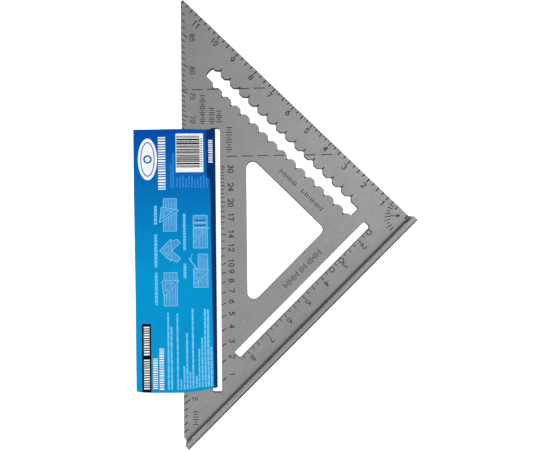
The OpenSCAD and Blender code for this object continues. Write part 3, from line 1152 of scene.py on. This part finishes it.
def cast_metal(name, dark, light, rough_low, rough_high, grain):
    """Tumbled die-cast aluminium: fine grain, cloudy patches and faint scratches."""
    m, tree, shader = new_material(name)
    coords = object_coords(tree)
    clouds = noise(tree, coords, 28.0, 5.0, 0.6)
    speckle = noise(tree, coords, 900.0, 3.0, 0.7)
    scratches = noise(tree, coords, 60.0, 3.0, 0.5, (1.0, 30.0, 1.0))
    specks = grey_ramp(tree, speckle, dark * 0.6, light * 1.4)
    colour = mix_colour(tree, 0.55, grey_ramp(tree, clouds, dark, light), specks)
    rough = grey_ramp(tree, scratches, rough_low, rough_high, 0.35, 0.65)
    grainy = bump(tree, speckle, grain, 0.00012)
    dress(tree, shader, colour, rough, bump(tree, clouds, 0.15, 0.0006, grainy))
    set_inputs(shader, {"Metallic": 1.0})
    return m


def printed_ink(name, colour, second=None):
    """Varnished ink with faint mottling: one colour, or a fade from it to a second one down the card."""
    m, tree, shader = new_material(name)
    coords = object_coords(tree)
    tint = (*colour, 1)
    if second is not None:
        along = tree.nodes.new("ShaderNodeVectorMath")
        along.operation = "DOT_PRODUCT"
        along.inputs[1].default_value = (*TIP_SIDE, 0.0)
        tree.links.new(coords, along.inputs[0])
        spread = tree.nodes.new("ShaderNodeMapRange")
        set_inputs(spread, {"From Min": FADE_FOOT, "From Max": FADE_TOP})
        tree.links.new(along.outputs["Value"], spread.inputs["Value"])
        tint = ramp(tree, spread.outputs["Result"], [(0.0, second), (0.45, second), (1.0, colour)])
    mottle = grey_ramp(tree, noise(tree, coords, 60.0), 0.93, 1.0)
    colour = mix_colour(tree, 1.0, mottle, tint, "MULTIPLY")
    rough = grey_ramp(tree, noise(tree, coords, 35.0), 0.44, 0.58)
    dress(tree, shader, colour, rough, bump(tree, noise(tree, coords, 2200.0, 2.0, 0.5), 0.12, 0.00005))
    set_inputs(shader, {"Specular IOR Level": 0.03})
    return m


def board(name, dark, light, fibre=0.3):
    """Uncoated card: grey with fibres and specks."""
    m, tree, shader = new_material(name)
    coords = object_coords(tree)
    fibres = noise(tree, coords, 420.0, 4.0, 0.6, (1.0, 0.35, 1.0))
    cloudy = ramp(tree, noise(tree, coords, 30.0, 3.0, 0.5), [(0.3, dark), (0.7, light)])
    colour = mix_colour(tree, fibre, cloudy, ramp(tree, fibres, [(0.3, dark), (0.62, light)]))
    dress(tree, shader, colour, grey_ramp(tree, fibres, 0.8, 0.95), bump(tree, fibres, 0.3, 0.0001))
    return m


def front_looks(grey, cut, navy):
    """The front panel's materials, in the order of BLUE and the rest."""
    return [
        printed_ink("ink_blue", (0.0, 0.072, 0.41), (0.0, 0.305, 0.64)), grey, cut, navy,
        printed_ink("ink_white", (0.93, 0.95, 0.96)),
        printed_ink("ink_black", (0.003, 0.003, 0.006)),
        printed_ink("ink_light_cyan", (0.17, 0.57, 0.92)),
        printed_ink("ink_pale_blue", (0.05, 0.27, 0.66)),
        printed_ink("ink_sketch_blue", (0.07, 0.33, 0.68)),
        printed_ink("ink_shade_blue", (0.01, 0.09, 0.24)),
    ]


# ---- stage, light and camera

CAMERA_DISTANCE = 0.500  # from the plane of the marked face, along the view
CAMERA_TILT = -0.842  # degrees that the view leans off the face's normal
CAMERA_YAW = -3.148
CAMERA_ROLL = 45.523  # degrees that the ruler leans in the frame
PIVOT_IN_VIEW = Vector((0.17835, 0.01202, -CAMERA_DISTANCE))  # right, up and back, in metres
CAMERA_LENS = 33.96
LENS_SHIFT = (0.0943, 0.0046)
MIDDLE = (cad_bounds[0] + cad_bounds[1]) / 2
FLOOR_SIZE = 6.0
FLOOR_Z = cad_bounds[0].z - 0.0005  # a hair under the object


def make_camera():
    data = bpy.data.cameras.new("camera")
    data.lens = CAMERA_LENS
    data.shift_x, data.shift_y = LENS_SHIFT
    data.sensor_width = 36.0
    data.clip_end = 20.0
    turn = (
        Matrix.Rotation(math.radians(CAMERA_TILT), 3, "X")
        @ Matrix.Rotation(math.radians(CAMERA_YAW), 3, "Y")
        @ Matrix.Rotation(math.radians(CAMERA_ROLL), 3, "Z")
    )
    place = Vector((0, 0, FACE_Z * MM)) - turn.transposed() @ PIVOT_IN_VIEW
    camera = add_object("camera", data)
    camera.matrix_world = Matrix.Translation(place) @ turn.transposed().to_4x4()
    bpy.context.scene.camera = camera


def make_floor():
    mesh = bpy.data.meshes.new("floor")
    corners = box_corners(-FLOOR_SIZE, FLOOR_SIZE, -FLOOR_SIZE, FLOOR_SIZE)
    mesh.from_pydata([(MIDDLE.x + x, MIDDLE.y + y, FLOOR_Z) for x, y in corners], [], [(0, 1, 2, 3)])
    material, _, shader = new_material("floor")
    set_inputs(shader, {"Base Color": (0.9, 0.9, 0.9, 1), "Roughness": 0.9})
    set_inputs(shader, {"Emission Color": (1, 1, 1, 1), "Emission Strength": 0.8})
    mesh.materials.append(material)
    add_object("floor", mesh)


def add_area(name, direction, distance, size, power):
    """A round soft light that looks at the middle of the object."""
    data = bpy.data.lights.new(name, "AREA")
    data.shape = "DISK"
    data.size = size
    data.energy = power
    light = add_object(name, data)
    direction = Vector(direction).normalized()
    light.location = MIDDLE + direction * distance
    light.rotation_mode = "QUATERNION"
    light.rotation_quaternion = direction.to_track_quat("Z", "Y")


def make_lights():
    add_area("key", (1.0, -0.2, 1.6), 4.0, 1.2, 54.0)
    add_area("fill", (-0.8, -0.2, 1.6), 2.0, 1.0, 7.0)
    world = bpy.data.worlds.new("studio")
    world.use_nodes = True
    set_inputs(world.node_tree.nodes["Background"], {"Color": (1, 1, 1, 1), "Strength": 0.58})
    bpy.context.scene.world = world
    bpy.context.scene.view_settings.view_transform = "Standard"


# ---- the whole

make_camera()
make_floor()
make_lights()
cast_looks = [cast_metal(name, *look) for name, look in CASTING.items()]
grey = board("card_board", (0.42, 0.41, 0.38), (0.55, 0.54, 0.50))
cut = board("card_cut_edge", (0.10, 0.18, 0.30), (0.22, 0.30, 0.42))
dried = board("dried_glue", (0.62, 0.58, 0.46), (0.75, 0.71, 0.58), 0.5)
navy = printed_ink("ink_navy", (0.001, 0.029, 0.145))

blade = make_blade(cast_looks)
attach(blade, "square")
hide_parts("blade")

fence = make_fence(cast_looks)
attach(fence, "square")
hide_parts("fence")

heights = panel_height(1), panel_height(1, CARD_T)
looks = front_looks(grey, cut, navy)
front_panel = make_sheet("card_front_print", panel_outline(), front_print(), *heights, looks)
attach(front_panel, "card_sleeve")
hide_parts("card_front_panel")

heights = panel_height(-1, CARD_T), panel_height(-1)
back_panel = make_sheet("card_back_board", panel_outline(), [], *heights, [grey, grey, cut])
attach(back_panel, "card_sleeve")
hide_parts("card_back_panel")

fold = make_fold([navy, grey, cut])
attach(fold, "card_sleeve")
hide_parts("card_spine")

glue = make_sheet("glue_strip", glue_outline(), [], glue_height(1), glue_height(-1), [dried] * 3)
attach(glue, "card_sleeve")
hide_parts("card_glue_seam")
